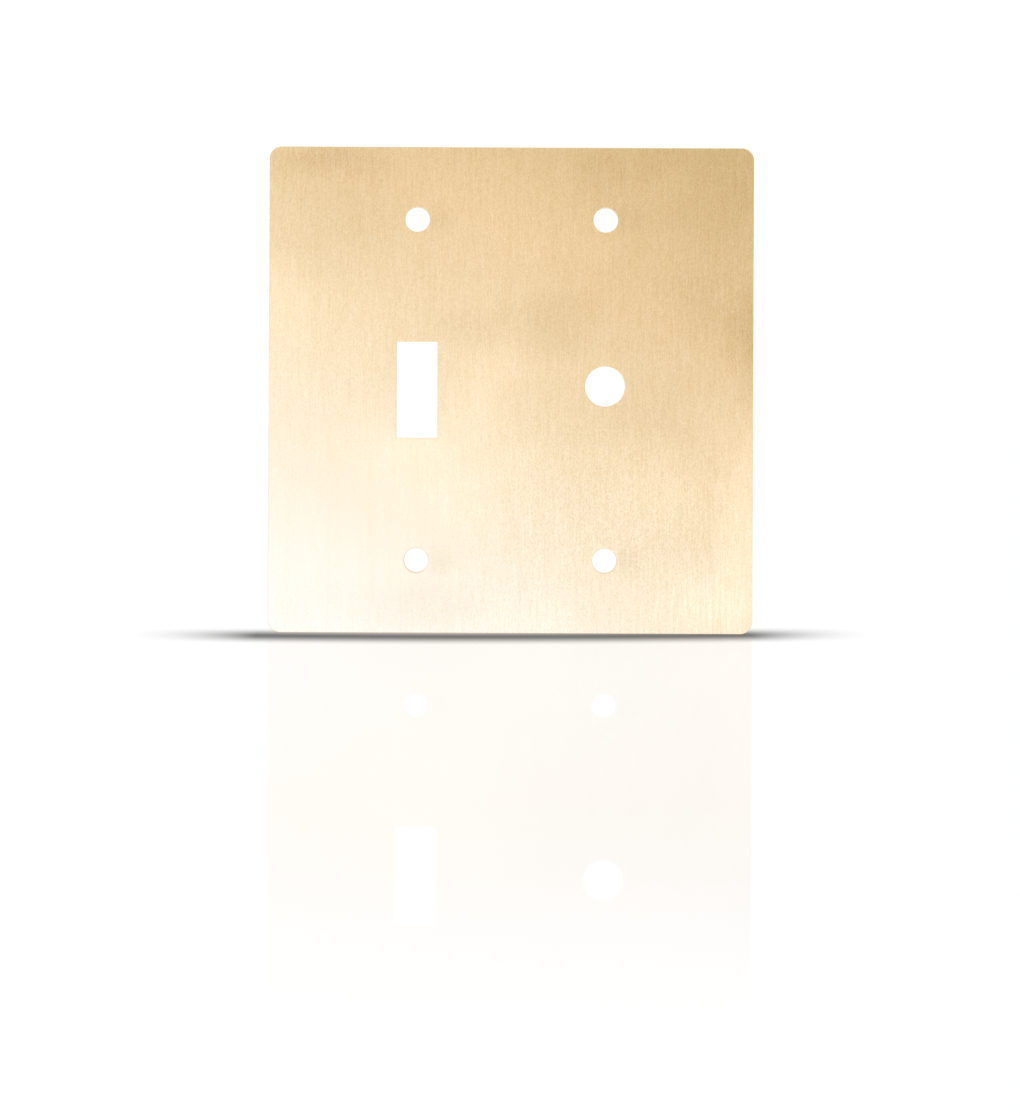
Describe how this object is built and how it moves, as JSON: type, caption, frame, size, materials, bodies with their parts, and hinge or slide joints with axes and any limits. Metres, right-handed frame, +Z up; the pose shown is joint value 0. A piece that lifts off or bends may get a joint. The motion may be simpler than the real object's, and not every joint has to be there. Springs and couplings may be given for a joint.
{
  "type": "combination wall plate",
  "caption": "Flat brushed-brass combination wall plate with an upright slot for a toggle lever, a round opening beside it, and plain screw holes.",
  "frame": {"origin": "centre of the back face, which lies against the wall", "axes": "+Z up, +X to the right as seen from the front, +Y into the wall; the front faces -Y, with the toggle slot on its left"},
  "size_m": [0.1186, 0.002, 0.1188],
  "materials": {
    "satin_brass": "brushed from top to bottom to a satin, unlacquered"
  },
  "bodies": {
    "root": {"wall_plate": "satin_brass"}
  },
  "joints": []
}
